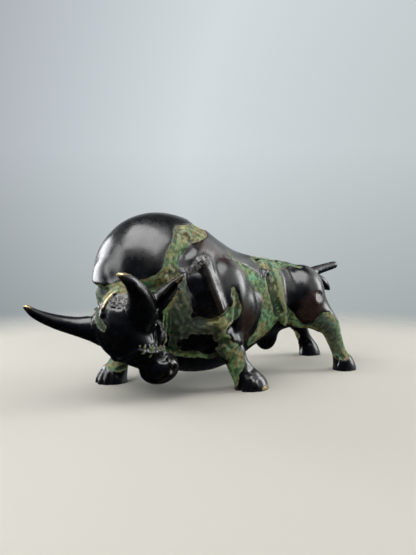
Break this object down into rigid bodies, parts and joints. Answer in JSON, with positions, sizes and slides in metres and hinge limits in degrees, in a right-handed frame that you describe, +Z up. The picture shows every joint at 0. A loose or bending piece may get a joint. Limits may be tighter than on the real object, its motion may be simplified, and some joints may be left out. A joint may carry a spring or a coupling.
{
  "type": "bull sculpture",
  "caption": "Small cast bronze bull standing on four hooves, with a great round hump, head lowered and horns forward.",
  "frame": {"origin": "middle of the outline box, on the ground the hooves stand on", "axes": "+Z up; the bull faces -X, its left side is -Y"},
  "size_m": [0.2496, 0.0973, 0.1103],
  "materials": {
    "bronze": "black-brown polished islands with rough green and ochre patina between them"
  },
  "bodies": {
    "root": {"bull": "bronze"}
  },
  "joints": []
}
